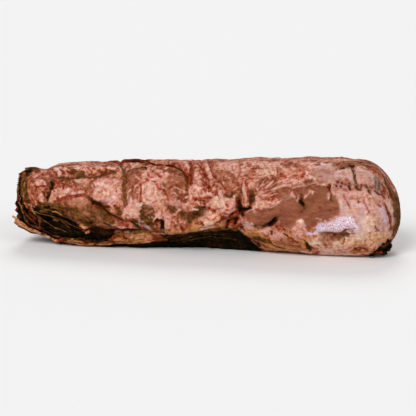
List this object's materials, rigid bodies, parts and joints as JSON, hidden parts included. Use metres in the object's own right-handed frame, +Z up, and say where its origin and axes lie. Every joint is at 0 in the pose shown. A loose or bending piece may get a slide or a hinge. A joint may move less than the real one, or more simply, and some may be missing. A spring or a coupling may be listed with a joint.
{
  "type": "beef tenderloin",
  "caption": "Whole raw beef tenderloin, a long rounded muscle with fat seams, silverskin at the thick end and its thin tail tucked under.",
  "frame": {"origin": "on the surface that the meat lies on, under the middle of its length and width", "axes": "+X along the meat from the tucked tail to the thick head, +Z up, -Y towards the side shown in the picture"},
  "size_m": [0.432, 0.1065, 0.1043],
  "materials": {
    "raw_meat": "moist raw beef with pale fat film, satin"
  },
  "bodies": {
    "root": {"tenderloin": "raw_meat"}
  },
  "joints": []
}
